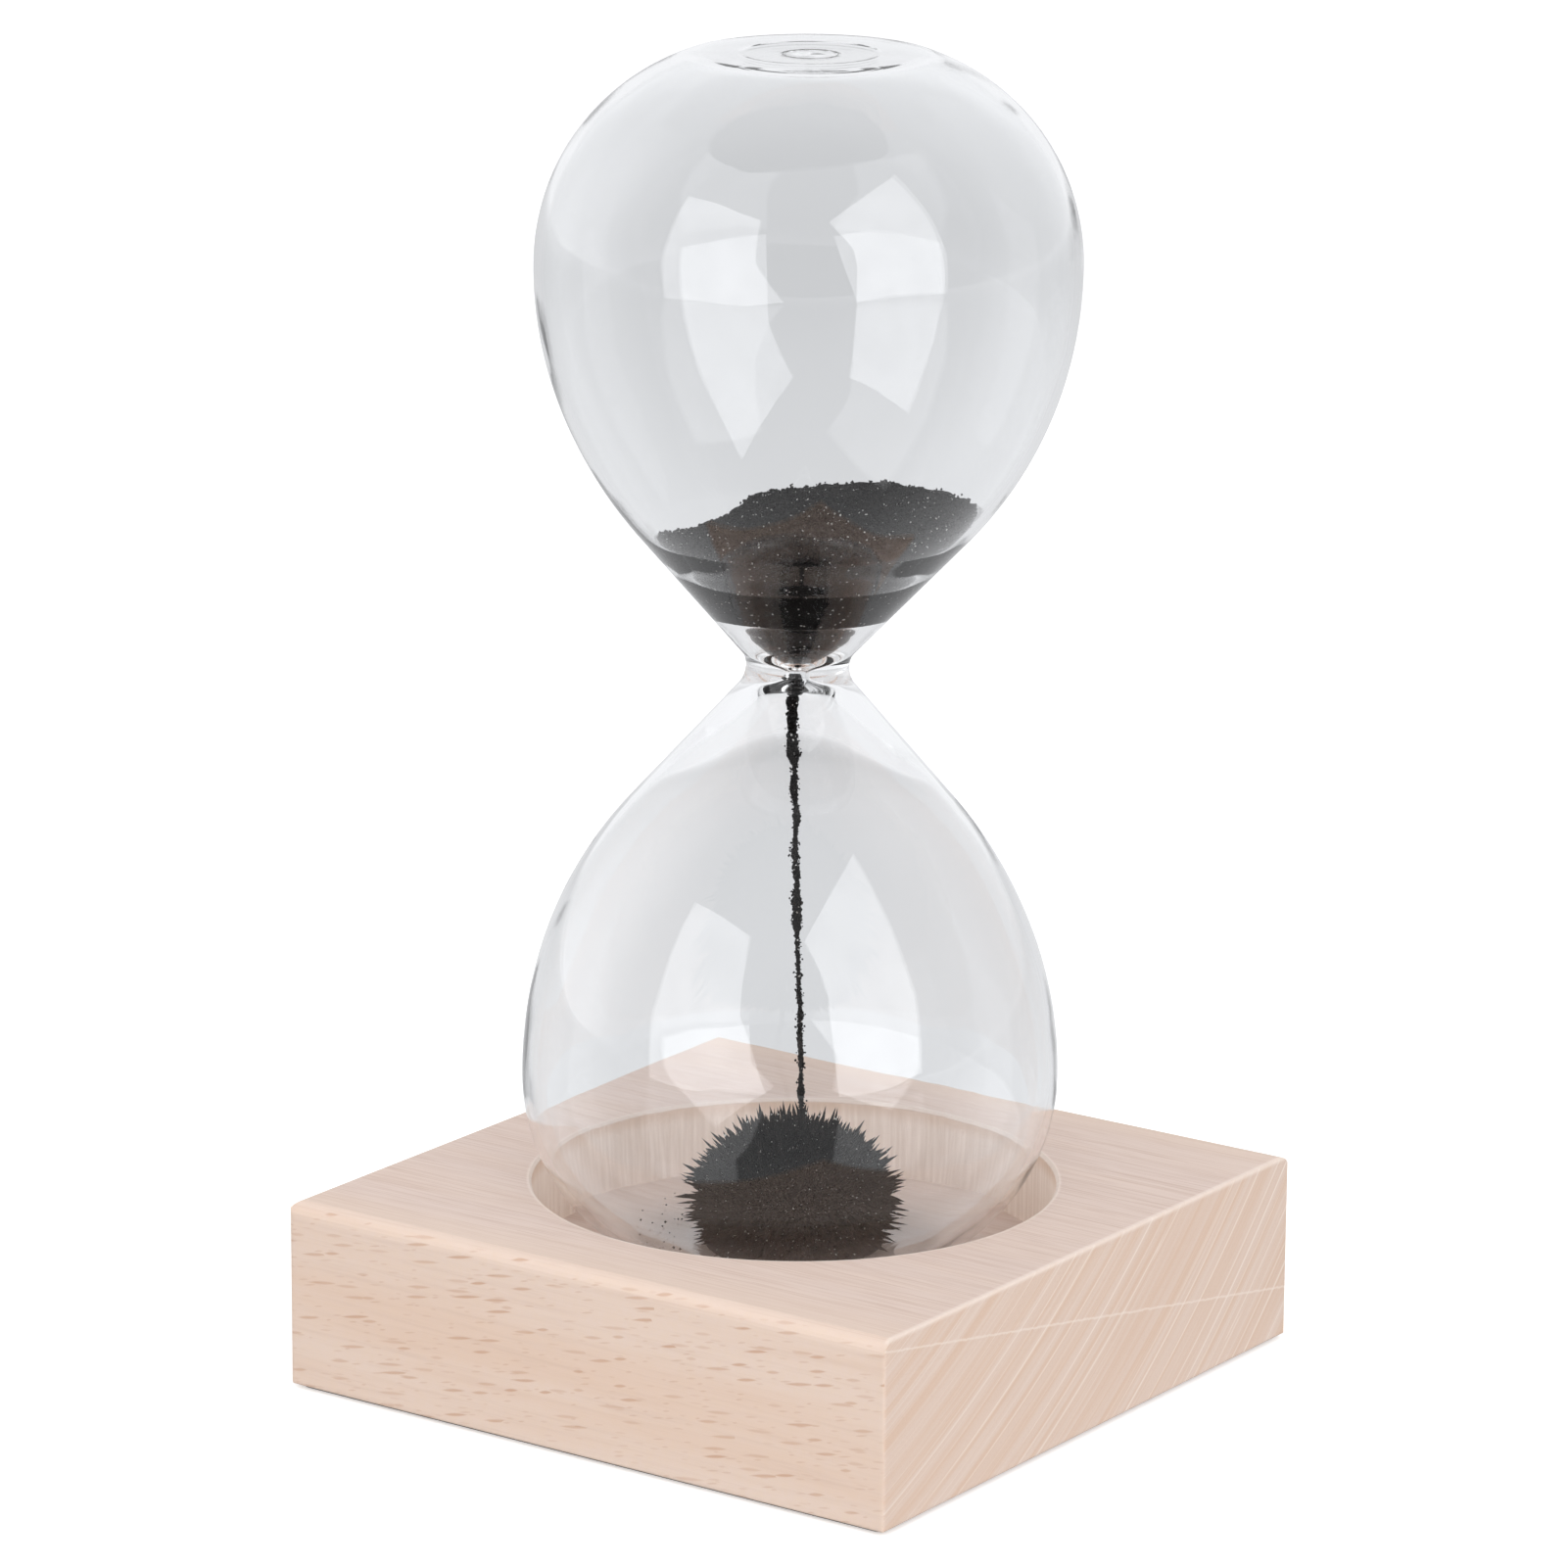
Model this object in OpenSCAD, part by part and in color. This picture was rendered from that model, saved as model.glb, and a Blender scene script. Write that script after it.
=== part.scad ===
// Magnetic hourglass: a sealed glass timer with iron powder, standing in a
// recess in a square beech block that hides a magnet. The falling powder
// gathers into a spiky clump over the magnet.
//
// The origin is the centre of the underside, +Z is up, and the wood's grain
// runs along X. The glass lifts straight up out of the recess.

/* [Base block] */
// Length of each side of the square base
base_side = 80; // [74:1:90]
// Height of the base, liner included
base_h = 21.7; // [20:0.1:26]
// Rounding of the worn edges: both long top edges and the far end
edge_round = 1.8; // [0.6:0.1:2]
// Rounding of the lower edge at the far end
foot_round = 1; // [0.4:0.1:1.4]
// Diameter of the recess that the glass stands in
recess_d = 58.4; // [56:0.2:62]
// Depth of the recess
recess_depth = 9.3; // [8:0.1:10]
// Width of the small chamfer around the recess
recess_chamfer = 0.35; // [0.2:0.05:0.8]

/* [Magnet and underside] */
// Diameter of the disc magnet
magnet_d = 25; // [18:0.5:26]
// Thickness of the disc magnet
magnet_h = 5; // [3:0.5:5]
// Wood left between the magnet and the recess
magnet_cover = 2; // [1.5:0.1:3]
// Room around the magnet in its pocket
pocket_gap = 0.1; // [0.05:0.05:0.3]
// Thickness of the sheet under the block
liner_h = 0.4; // [0.3:0.1:1]
// How far the sheet stops short of the block's sides
liner_inset = 1; // [0.3:0.1:2]

/* [Glass outside] */
// Length of the glass from flat end to flat end
glass_len = 135.5; // [134:0.1:138]
// Largest diameter of both bulbs
bulb_d = 59.4; // [58:0.2:61]
// Smallest diameter of the neck
neck_d = 11.3; // [10.5:0.1:12]
// Height of the neck above the flat lower end
neck_up = 68; // [67.6:0.1:68.4]
// Height of the lower bulb's widest point above the lower end
lower_wide = 21.5; // [21:0.1:22]
// Depth of the upper bulb's widest point below the upper end
upper_wide = 23; // [22.6:0.1:23.6]

/* [Glass inside] */
// Thickness of the blown wall
wall = 0.9; // [0.7:0.1:1.2]
// Thickness of the flat lower end
end_wall = 1.4; // [1:0.1:2]
// Thickness of the flat upper end
cap_wall = 0.9; // [0.7:0.1:1.2]
// Diameter of the throat that the powder runs through
throat_d = 1.8; // [1.6:0.1:2.2]
// Diameter of the filling hole in the upper end
fill_hole_d = 6; // [4:0.5:7]
// Diameter over which the upper end has sunk a little
dish_d = 14.8; // [12:0.2:17]
// How far the upper end has sunk
dish_depth = 0.25; // [0.1:0.05:0.5]

/* [Iron powder] */
// Mean height of the powder's surface above the neck
heap_h = 15.7; // [14:0.1:18]
// Slope of the powder's surface, in degrees
heap_slope = 5; // [0:0.5:8]
// Direction in which the surface rises, in degrees from X
heap_turn = 35; // [0:5:355]
// Diameter of the falling stream at the throat
stream_top_d = 1.5; // [1:0.1:1.5]
// Diameter of the falling stream at its lower end
stream_low_d = 0.8; // [0.6:0.1:1.2]
// Diameter of the clump over the magnet
clump_d = 22.8; // [18:0.2:24]
// Height of the clump
clump_h = 14.6; // [12:0.2:16]

/* [Hidden] */

round_fn = 96;        // facets of the displayed cylinders
cut = 1;              // overshoot of a cutting shape
crisp_round = 0.4;    // rounding of the edges that are still sharp
corner_round = 0.9;   // rounding of the upright edges at the worn end
magnet_chamfer = 0.3; // ground edge of the magnet
powder_gap = 0.12;    // room between the powder and the glass
seal_dome = 0.6;      // how far the fused seal hangs into the glass
seal_tip = 0.25;      // height of the pinched point on the seal
tip_h = 0.4;          // distance of the heap's lowest point from the neck
stream_drop = 0.4;    // distance of the stream's top below the neck
grain_d = 0.5;        // size of a loose grain
grain_count = 14;     // loose grains beside the clump

// Heights above the underside
recess_z = base_h - recess_depth;
magnet_z = recess_z - magnet_cover - magnet_h;
floor_z = recess_z + end_wall;
neck_z = recess_z + neck_up;
glass_top_z = recess_z + glass_len;
clump_z = floor_z + powder_gap;

// Each bulb has a long arc towards the neck and a short arc to its end, which
// meet at the widest point, and a hollow arc at the neck
upper_len = glass_len - neck_up;
upper_eq = upper_len - upper_wide;
upper_long_r = 44.1;
upper_short_r = 24.1;
upper_hollow_r = 2.5;
lower_eq = neck_up - lower_wide;
lower_long_r = 47;
lower_short_r = 21.6;
lower_hollow_r = 3.6;

// The inner face near the throat, where the glass is thick, as [radius, distance
// from the neck]: a funnel above and a bell below
throat_r = throat_d / 2;
funnel = [[throat_r, 0], [throat_r + 0.25, 0.5], [2.6, 1.5], [4, 2.8], [5.2, 4.2], [6.2, 5.6],
          [7.3, 7], [8.9, 8.1], [11, 9.2], [13, 10.8], [15.1, 13]];
bell = [[throat_r, 0], [throat_r + 0.1, 1.2], [throat_r + 0.8, 2], [3.2, 2.9], [5, 4.4], [8.1, 7],
        [11.4, 10], [14.5, 13]];

// Points on a smooth curve that runs through the given points, n for each stretch
function curve(p, n) =
    [for (i = [0:len(p) - 2])
        let (a = p[max(i - 1, 0)], b = p[i], c = p[i + 1], d = p[min(i + 2, len(p) - 1)])
        for (j = [0:n - 1])
            let (t = j / n)
            b + (t * (c - a) + t * t * (2 * a - 5 * b + 4 * c - d) + t * t * t * (3 * b - a - 3 * c + d)) / 2];

// Points on an arc around c from angle a to angle b, without the first one
function arc_points(c, r, a, b, n) =
    [for (i = [1:n]) c + r * [cos(a + (b - a) * i / n), sin(a + (b - a) * i / n)]];

// Angle at which the straight line between a bulb's long arc and the hollow arc
// leaves each of them, so that the outline has no corner
function line_angle(c_long, r_long, c_hollow, r_hollow) =
    let (d = c_hollow - c_long)
    atan2(d[1], d[0]) + acos((r_long + r_hollow) / norm(d));

// A bulb's outline as [radius, distance from the neck], on a surface t inside its
// outer face, from the start of the long arc to the end
function bulb_outline(t, hollow_r, eq, long_r, short_r, end) =
    let (
        c_long = [bulb_d / 2 - long_r, eq],
        c_short = [bulb_d / 2 - short_r, eq],
        a = line_angle(c_long, long_r, [neck_d / 2 + hollow_r, 0], hollow_r),
        end_a = asin((end - eq) / (short_r - t))
    )
    concat(
        [c_long + (long_r - t) * [cos(a), sin(a)]],
        arc_points(c_long, long_r - t, a, 0, 14),
        arc_points(c_short, short_r - t, 0, end_a, 12)
    );
function upper_bulb(t, end) = bulb_outline(t, upper_hollow_r, upper_eq, upper_long_r, upper_short_r, end);
function lower_bulb(t, end) = bulb_outline(t, lower_hollow_r, lower_eq, lower_long_r, lower_short_r, end);

// The hollow arc outside the neck, up to the straight line to a bulb
function hollow(hollow_r, eq, long_r) =
    let (
        c = [neck_d / 2 + hollow_r, 0],
        a = line_angle([bulb_d / 2 - long_r, eq], long_r, c, hollow_r)
    )
    arc_points(c, hollow_r, 180, 180 + a, 6);

// The whole inner face of each bulb, or a surface t inside it for the powder
function upper_inner(t) =
    let (bulb = upper_bulb(wall + t, upper_len - cap_wall))
    concat(curve(concat([for (p = funnel) p + [-t, t]], [bulb[0]]), 3), bulb);
function lower_inner() =
    let (bulb = lower_bulb(wall, neck_up - end_wall))
    concat(curve(concat(bell, [bulb[0]]), 3), bulb);

// A half outline set above or below the neck, as [radius, height], upwards
function above(points) = [for (p = points) [p[0], neck_z + p[1]]];
function below(points) = [for (i = [len(points) - 1:-1:0]) [points[i][0], neck_z - points[i][1]]];
function reversed(points) = [for (i = [len(points) - 1:-1:0]) points[i]];

outer = concat(
    below(concat(hollow(lower_hollow_r, lower_eq, lower_long_r), lower_bulb(0, neck_up))),
    [[neck_d / 2, neck_z]],
    above(concat(hollow(upper_hollow_r, upper_eq, upper_long_r), upper_bulb(0, upper_len)))
);
inner_below = below(lower_inner());
inner_above = above(upper_inner(0));
inner = concat([for (i = [0:len(inner_below) - 2]) inner_below[i]], inner_above);

// Height of the lower bulb's inner face at a radius r
function lower_face(r) =
    let (dr = max(r - bulb_d / 2 + lower_short_r, 0), rho = lower_short_r - wall)
    max(floor_z, neck_z - lower_eq - sqrt(rho * rho - dr * dr));

// Height of the upper end's sunken outer face at a radius r. Its inner face has
// sunk as far
function dish_face(r) = glass_top_z - dish_depth * (1 - pow(2 * r / dish_d, 2));

// A rectangle from x = -w/2 to w/2 and from y = 0 to h, with the radii of its
// lower left, lower right, upper right and upper left corners
function rounded_rect(w, h, r) = concat(
    arc_points([-w / 2 + r[0], r[0]], r[0], 180, 270, 6),
    arc_points([w / 2 - r[1], r[1]], r[1], 270, 360, 6),
    arc_points([w / 2 - r[2], h - r[2]], r[2], 0, 90, 6),
    arc_points([-w / 2 + r[3], h - r[3]], r[3], 90, 180, 6)
);

// The block before it is bored: its plan, its side and its end, crossed
module block_blank() {
    h = base_h - liner_h;
    soft = edge_round;
    intersection() {
        linear_extrude(base_h)
            translate([0, -base_side / 2])
                polygon(rounded_rect(base_side, base_side,
                                     [corner_round, crisp_round, crisp_round, corner_round]));
        translate([-base_side, 0, liner_h])
            rotate([90, 0, 90])
                linear_extrude(2 * base_side)
                    polygon(rounded_rect(base_side, h, [crisp_round, crisp_round, soft, soft]));
        translate([0, base_side, liner_h])
            rotate([90, 0, 0])
                linear_extrude(2 * base_side)
                    polygon(rounded_rect(base_side, h, [foot_round, crisp_round, crisp_round, soft]));
    }
}

// Square beech block with the recess above and the magnet's pocket below
module base_block() {
    color("burlywood")
        difference() {
            block_blank();
            translate([0, 0, recess_z])
                cylinder(h = recess_depth + cut, d = recess_d, $fn = round_fn);
            translate([0, 0, base_h - recess_chamfer])
                cylinder(h = recess_chamfer + cut, d1 = recess_d,
                         d2 = recess_d + 2 * (recess_chamfer + cut), $fn = round_fn);
            translate([0, 0, liner_h - cut])
                cylinder(h = magnet_z + magnet_h - liner_h + cut,
                         d = magnet_d + 2 * pocket_gap, $fn = round_fn);
        }
}

// Disc magnet, tight under the recess
module base_magnet() {
    r = magnet_d / 2;
    c = magnet_chamfer;
    color("silver")
        translate([0, 0, magnet_z])
            rotate_extrude($fn = round_fn)
                polygon([[0, 0], [r - c, 0], [r, c], [r, magnet_h - c], [r - c, magnet_h],
                         [0, magnet_h]]);
}

// Hot-melt adhesive that fills the pocket below the magnet
module magnet_glue() {
    color("ivory")
        translate([0, 0, liner_h])
            cylinder(h = magnet_z - liner_h, d = magnet_d, $fn = round_fn);
}

// Thin dark sheet on the underside, over the pocket's mouth
module base_liner() {
    side = base_side - 2 * liner_inset;
    color("dimgray")
        linear_extrude(liner_h)
            translate([0, -side / 2])
                polygon(rounded_rect(side, side, [1, 1, 1, 1] * corner_round));
}

// Blown glass in one piece: two bulbs, thick neck with the throat through it,
// flat ends, and the filling hole in the upper end
module glass_vessel() {
    hole_r = fill_hole_d / 2;
    dish = [for (i = [0:6]) let (r = dish_d / 2 + (hole_r - dish_d / 2) * i / 6) [r, dish_face(r)]];
    under = [for (p = reversed(dish)) p - [0, cap_wall]];
    color("lightcyan", 0.35)
        rotate_extrude($fn = round_fn)
            polygon(concat([[0, recess_z]], outer, dish, under, reversed(inner), [[0, floor_z]]));
}

// Drop of glass fused into the filling hole
module fill_seal() {
    hole_r = fill_hole_d / 2;
    low = dish_face(hole_r) - cap_wall;
    dome = [for (i = [0:5]) [hole_r * sin(15 * i), low - seal_dome * cos(15 * i)]];
    color("azure", 0.5)
        rotate_extrude($fn = round_fn)
            polygon(concat(dome, [[hole_r, low], [hole_r, dish_face(hole_r)],
                                  [0, dish_face(hole_r) + seal_tip]]));
}

// Iron powder waiting in the upper bulb, with a sloping surface
module powder_heap() {
    rise = heap_h + upper_wide * sin(heap_slope);
    wetted = [for (p = above(upper_inner(powder_gap))) if (p[1] > neck_z + tip_h && p[1] < neck_z + rise + 2) p];
    color("#2b2726")
        difference() {
            rotate_extrude($fn = round_fn)
                polygon(concat([[0, wetted[0][1]]], wetted, [[0, wetted[len(wetted) - 1][1]]]));
            translate([0, 0, neck_z + heap_h])
                rotate([0, 0, heap_turn])
                    rotate([0, -heap_slope, 0])
                        translate([-bulb_d, -bulb_d, 0])
                            cube([2 * bulb_d, 2 * bulb_d, bulb_d]);
        }
}

// Powder falling from just below the throat to the clump
module powder_stream() {
    low = clump_z + clump_h + powder_gap;
    color("#242120")
        translate([0, 0, low])
            cylinder(h = neck_z - stream_drop - low, d1 = stream_low_d, d2 = stream_top_d,
                     $fn = round_fn);
}

// Powder gathered over the magnet: a dome that narrows a little to its foot.
// Its underside follows the glass
module powder_clump() {
    r = clump_d / 2;
    waist_z = clump_z + 0.36 * clump_h;
    flank = 2 * (waist_z - clump_z);
    foot_a = 28;
    foot_r = r * cos(foot_a);
    foot = [for (i = [0:8]) [foot_r * i / 8, lower_face(foot_r * i / 8) + powder_gap]];
    lower = [for (i = [0:3]) [r * cos(foot_a * (1 - i / 4)), waist_z - flank * sin(foot_a * (1 - i / 4))]];
    upper = [for (i = [0:12]) [r * cos(7.5 * i), waist_z + (clump_z + clump_h - waist_z) * sin(7.5 * i)]];
    color("#241d1c")
        rotate_extrude($fn = round_fn)
            polygon(concat(foot, lower, upper));
}

// Loose grains lying on the glass to one side of the clump
module stray_grains() {
    color("#2b2726")
        for (i = [0:grain_count - 1]) {
            r = clump_d / 2 + 2 + 5 * (i * 0.382 - floor(i * 0.382));
            a = heap_turn + 180 - 45 + 90 * (i * 0.618 - floor(i * 0.618));
            translate([r * cos(a), r * sin(a), lower_face(r) + grain_d])
                sphere(d = grain_d, $fn = 16);
        }
}

base_block();
base_magnet();
magnet_glue();
base_liner();
glass_vessel();
fill_seal();
powder_heap();
powder_stream();
powder_clump();
stray_grains();
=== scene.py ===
"""Looks of the magnetic hourglass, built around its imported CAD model.

Lengths are written in millimetres and multiplied by MM where Blender needs metres. The wood, its
magnet, adhesive and underside sheet are the CAD's own nodes with materials. The glass, its seal and
the iron powder are finer meshes on the CAD's dimensions, which they take from the frame.
"""

import math
import random

import bpy
from mathutils import Matrix, Vector, noise


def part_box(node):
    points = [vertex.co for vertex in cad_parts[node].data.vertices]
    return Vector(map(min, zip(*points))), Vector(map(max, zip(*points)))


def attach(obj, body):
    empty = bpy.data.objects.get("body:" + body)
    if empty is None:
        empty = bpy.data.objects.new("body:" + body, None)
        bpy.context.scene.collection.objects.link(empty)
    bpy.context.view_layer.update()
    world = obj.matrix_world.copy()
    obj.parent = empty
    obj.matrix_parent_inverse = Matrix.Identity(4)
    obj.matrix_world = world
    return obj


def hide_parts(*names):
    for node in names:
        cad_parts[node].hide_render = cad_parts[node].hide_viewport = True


MM = 0.001

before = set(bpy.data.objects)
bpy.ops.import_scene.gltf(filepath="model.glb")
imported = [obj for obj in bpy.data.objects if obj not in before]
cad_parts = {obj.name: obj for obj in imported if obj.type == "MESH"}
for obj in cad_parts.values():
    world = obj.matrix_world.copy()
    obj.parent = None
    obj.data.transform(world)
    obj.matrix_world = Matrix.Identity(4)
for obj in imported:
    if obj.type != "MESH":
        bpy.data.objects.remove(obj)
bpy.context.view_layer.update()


def cad_mm(node):
    """A CAD node's lowest and highest corners in millimetres."""
    low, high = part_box(node)
    return low / MM, high / MM


# ---------------------------------------------------------------- sizes, in millimetres

BASE_HIGH = cad_mm("base_block")[1]
GLASS_LOW, GLASS_HIGH = cad_mm("glass_vessel")
CLUMP_LOW, CLUMP_HIGH = cad_mm("powder_clump")

BASE_TOP = BASE_HIGH.z
BASE_HALF = BASE_HIGH.x
RECESS_R = 29.2

FOOT_Z = GLASS_LOW.z
TOP_Z = GLASS_HIGH.z
BULB_R = GLASS_HIGH.x
NECK_UP = 68.0
NECK_Z = FOOT_Z + NECK_UP
NECK_R = 5.65
WALL = 0.9
END_WALL = 1.4
FLOOR_Z = FOOT_Z + END_WALL
HOLE_R = 3.0
DISH_R = 7.4
DISH_DEPTH = 0.25
DISH_STEP = 0.07
DISH_STEP_HALF = 0.3

# A bulb: its length from the neck, the distance of its widest point from the neck, the radii of its
# long and short arcs, the radius of the hollow arc at the neck, and how far the corner of its flat
# end is rounded, outside and inside
UPPER = {"length": TOP_Z - NECK_Z, "widest": TOP_Z - NECK_Z - 23.0,
         "long": 44.1, "short": 24.1, "hollow": 2.5, "soft_out": 0.8, "soft_in": 0.8}
LOWER = {"length": NECK_UP, "widest": NECK_UP - 21.5,
         "long": 47.0, "short": 21.6, "hollow": 3.6, "soft_out": 1.4, "soft_in": 4.0}

# The inner face near the throat, where the glass is thick, as (radius, distance from the neck): a
# funnel above and a bell below
FUNNEL = [(0.9, 0.0), (1.15, 0.5), (2.6, 1.5), (4.0, 2.8), (5.2, 4.2), (6.2, 5.6), (7.3, 7.0),
          (8.9, 8.1), (11.0, 9.2), (13.0, 10.8), (15.1, 13.0)]
BELL = [(0.9, 0.0), (1.0, 1.2), (1.7, 2.0), (3.2, 2.9), (5.0, 4.4), (8.1, 7.0), (11.4, 10.0),
        (14.5, 13.0)]

# How far the bulbs sit to the sides of the neck, and the height over which the lean comes in
UPPER_LEAN = 0.95
LOWER_LEAN = 0.6
LEAN_HEIGHT = 14.0

# The powder leaves a small gap to the glass, except where it is pressed on the funnel's flat part,
# between these distances from the neck
POWDER_GAP = 0.12
POWDER_PRESSED = -0.02
PRESSED_LOW = (6.7, 7.1)
PRESSED_HIGH = (10.8, 11.4)

# The waiting heap: distances of its lowest point and of its surface from the neck, the surface's
# slope, and the direction from the axis to its high side, turned from +X
HEAP_TIP = 0.6
HEAP_H = 15.7
HEAP_SLOPE = math.radians(5)
HEAP_TURN = math.radians(35)

# ---------------------------------------------------------------- camera

CAM_AZIMUTH = 35.29
CAM_ELEVATION = 14.74
CAM_ROLL = 0.38
CAM_DISTANCE = 807.2
CAM_LENS = 169.0
CAM_SENSOR = 36.0
LOOK_AT = Vector((-0.7, -1.4, 67.1))


def direction(azimuth, elevation):
    """Unit vector from the object towards that azimuth and elevation; azimuth 0 is -Y."""
    a, e = math.radians(azimuth), math.radians(elevation)
    return Vector((math.sin(a) * math.cos(e), -math.cos(a) * math.cos(e), math.sin(e)))


CAM_BACK = direction(CAM_AZIMUTH, CAM_ELEVATION)
SIDEWAYS = Vector((-CAM_BACK.y, CAM_BACK.x, 0)).normalized()


def make_camera():
    data = bpy.data.cameras.new("photo_camera")
    data.lens = CAM_LENS
    data.sensor_width = CAM_SENSOR
    data.clip_start, data.clip_end = 0.01, 50.0
    cam = bpy.data.objects.new("photo_camera", data)
    turn = (-CAM_BACK).to_track_quat("-Z", "Y").to_matrix().to_4x4()
    roll = Matrix.Rotation(math.radians(CAM_ROLL), 4, "Z")
    cam.matrix_world = Matrix.Translation((LOOK_AT + CAM_BACK * CAM_DISTANCE) * MM) @ turn @ roll
    bpy.context.scene.collection.objects.link(cam)
    bpy.context.scene.camera = cam


# ---------------------------------------------------------------- node-tree helpers


class Shader:
    """The node tree of a new material or of the given world, with short calls for its nodes."""

    def __init__(self, name, world=None):
        self.owner = world or bpy.data.materials.new(name)
        self.owner.use_nodes = True
        self.tree = self.owner.node_tree
        self.tree.nodes.clear()

    def add(self, kind, inputs=None, **settings):
        made = self.tree.nodes.new(kind)
        for key, value in settings.items():
            setattr(made, key, value)
        for key, value in (inputs or {}).items():
            self.put(made.inputs[key], value)
        return made

    def put(self, socket, value):
        if isinstance(value, bpy.types.NodeSocket):
            self.tree.links.new(value, socket)
        else:
            socket.default_value = value

    def math(self, operation, a, b=0.0, c=0.0):
        return self.add("ShaderNodeMath", {0: a, 1: b, 2: c}, operation=operation).outputs[0]

    def times(self, a, b):
        return self.math("MULTIPLY", a, b)

    def distance(self, x, y):
        """Distance from the origin of a plane."""
        return self.math("SQRT", self.math("ADD", self.times(x, x), self.times(y, y)))

    def vector(self, operation, a, b=(0, 0, 0), output="Vector"):
        return self.add("ShaderNodeVectorMath", {0: a, 1: b}, operation=operation).outputs[output]

    def parts(self, vector):
        return self.add("ShaderNodeSeparateXYZ", {0: vector}).outputs

    def join(self, x, y):
        return self.add("ShaderNodeCombineXYZ", {0: x, 1: y}).outputs[0]

    def fade(self, value, low, high, to_low=0.0, to_high=1.0):
        """Smooth step from to_low where value is low to to_high where it is high."""
        names = ("Value", "From Min", "From Max", "To Min", "To Max")
        return self.add("ShaderNodeMapRange", dict(zip(names, (value, low, high, to_low, to_high))),
                        interpolation_type="SMOOTHSTEP").outputs[0]

    def mix(self, factor, a, b):
        """Colour a where factor is 0, colour b where it is 1."""
        return self.add("ShaderNodeMix", {0: factor, 6: a, 7: b}, data_type="RGBA").outputs[2]

    def noise(self, vector, scale=1.0, detail=2.0, roughness=0.5):
        return self.add("ShaderNodeTexNoise", {"Vector": vector, "Scale": scale, "Detail": detail,
                                               "Roughness": roughness}).outputs[0]

    def cells(self, vector, scale=1.0, dimensions="3D"):
        """Voronoi cells: (the node, three random numbers for the cell)."""
        made = self.add("ShaderNodeTexVoronoi", {"Vector": vector, "Scale": scale},
                        voronoi_dimensions=dimensions)
        return made, self.add("ShaderNodeSeparateColor", {0: made.outputs["Color"]}).outputs

    def place(self):
        """The point's place in the object's own frame, in millimetres."""
        here = self.add("ShaderNodeTexCoord").outputs["Object"]
        return self.vector("MULTIPLY", here, (1 / MM,) * 3)

    def bump(self, height, strength, distance):
        return self.add("ShaderNodeBump", {"Height": height, "Strength": strength,
                                           "Distance": distance * MM}).outputs[0]

    def principled(self, inputs):
        return self.add("ShaderNodeBsdfPrincipled", inputs).outputs[0]

    def light(self, colour, strength, kind="ShaderNodeEmission"):
        return self.add(kind, {"Color": colour, "Strength": strength}).outputs[0]

    def both(self, a, b):
        """Two surfaces added together."""
        return self.add("ShaderNodeAddShader", {0: a, 1: b}).outputs[0]

    def seen_by(self, ray, other, seen):
        """A surface that is seen to one kind of ray and is other to the rest."""
        chosen = self.add("ShaderNodeLightPath").outputs[ray]
        return self.add("ShaderNodeMixShader", {0: chosen, 1: other, 2: seen}).outputs[0]

    def finish(self, surface):
        self.add("ShaderNodeOutputMaterial", {"Surface": surface})
        return self.owner


def rgb(r, g, b):
    return (r, g, b, 1.0)


WHITE = rgb(1.0, 1.0, 1.0)
COOL_WHITE = rgb(0.970, 0.980, 1.0)


# ---------------------------------------------------------------- beech

RAY_SLOPE = math.radians(34)
RAY_BEND = 0.003
FLECK_SLOPE = math.tan(math.radians(9))
SCRATCH_SLOPE = 0.18
SCRATCH_Z = 13.0
DASH_EDGE = 0.6

BEECH_TOP = rgb(0.670, 0.545, 0.485)
BEECH_SIDE = rgb(0.690, 0.545, 0.450)
BEECH_END = rgb(0.690, 0.550, 0.470)
BEECH_WARM = rgb(0.640, 0.435, 0.310)
# Painted light: the recess wall's colour, lighter than the wood, stands in for light that does not
# reach into the recess
BEECH_BORE_PAINTED_LIGHT = rgb(0.900, 0.770, 0.680)
BEECH_FLECK = rgb(0.500, 0.295, 0.195)
BEECH_LINE = rgb(0.500, 0.345, 0.275)
BEECH_PALE = rgb(0.790, 0.690, 0.620)


def dashes(s, u, v, cell, half_length, half_width, keep, tilt):
    """Lens-shaped strokes along u, at most one in each cell of (u, v) millimetres: how strongly the
    point lies in one, from 0 to 1. keep is the share of cells that have one, and tilt the most that
    one leans."""
    grid = s.join(s.math("DIVIDE", u, cell[0]), s.math("DIVIDE", v, cell[1]))
    found, chance = s.cells(grid, dimensions="2D")
    away = s.parts(s.vector("SUBTRACT", grid, found.outputs["Position"]))
    along = s.times(away[0], cell[0])
    across = s.times(away[1], cell[1])
    turn = s.times(s.math("SUBTRACT", chance[1], 0.5), 2 * tilt)
    across = s.math("SUBTRACT", across, s.times(along, turn))
    length = s.times(s.math("ADD", chance[0], 0.5), half_length)
    ratio = s.math("DIVIDE", along, length)
    room = s.times(s.math("SUBTRACT", 1.0, s.times(ratio, ratio)), half_width)
    depth = s.math("SUBTRACT", room, s.math("ABSOLUTE", across))
    inside = s.fade(depth, -DASH_EDGE * half_width, DASH_EDGE * half_width)
    kept = s.math("LESS_THAN", chance[2], keep)
    strength = s.math("MULTIPLY_ADD", chance[1], 0.6, 0.4)
    return s.times(s.times(inside, kept), strength)


def blend_by_face(s, x_face, y_face, z_face):
    """Mixes three colours by which way the surface faces."""
    facing = s.parts(s.vector("ABSOLUTE", s.add("ShaderNodeNewGeometry").outputs["Normal"]))
    colour = s.mix(s.fade(facing[0], 0.55, 0.85), y_face, x_face)
    return s.mix(s.fade(facing[2], 0.55, 0.85), colour, z_face)


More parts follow.
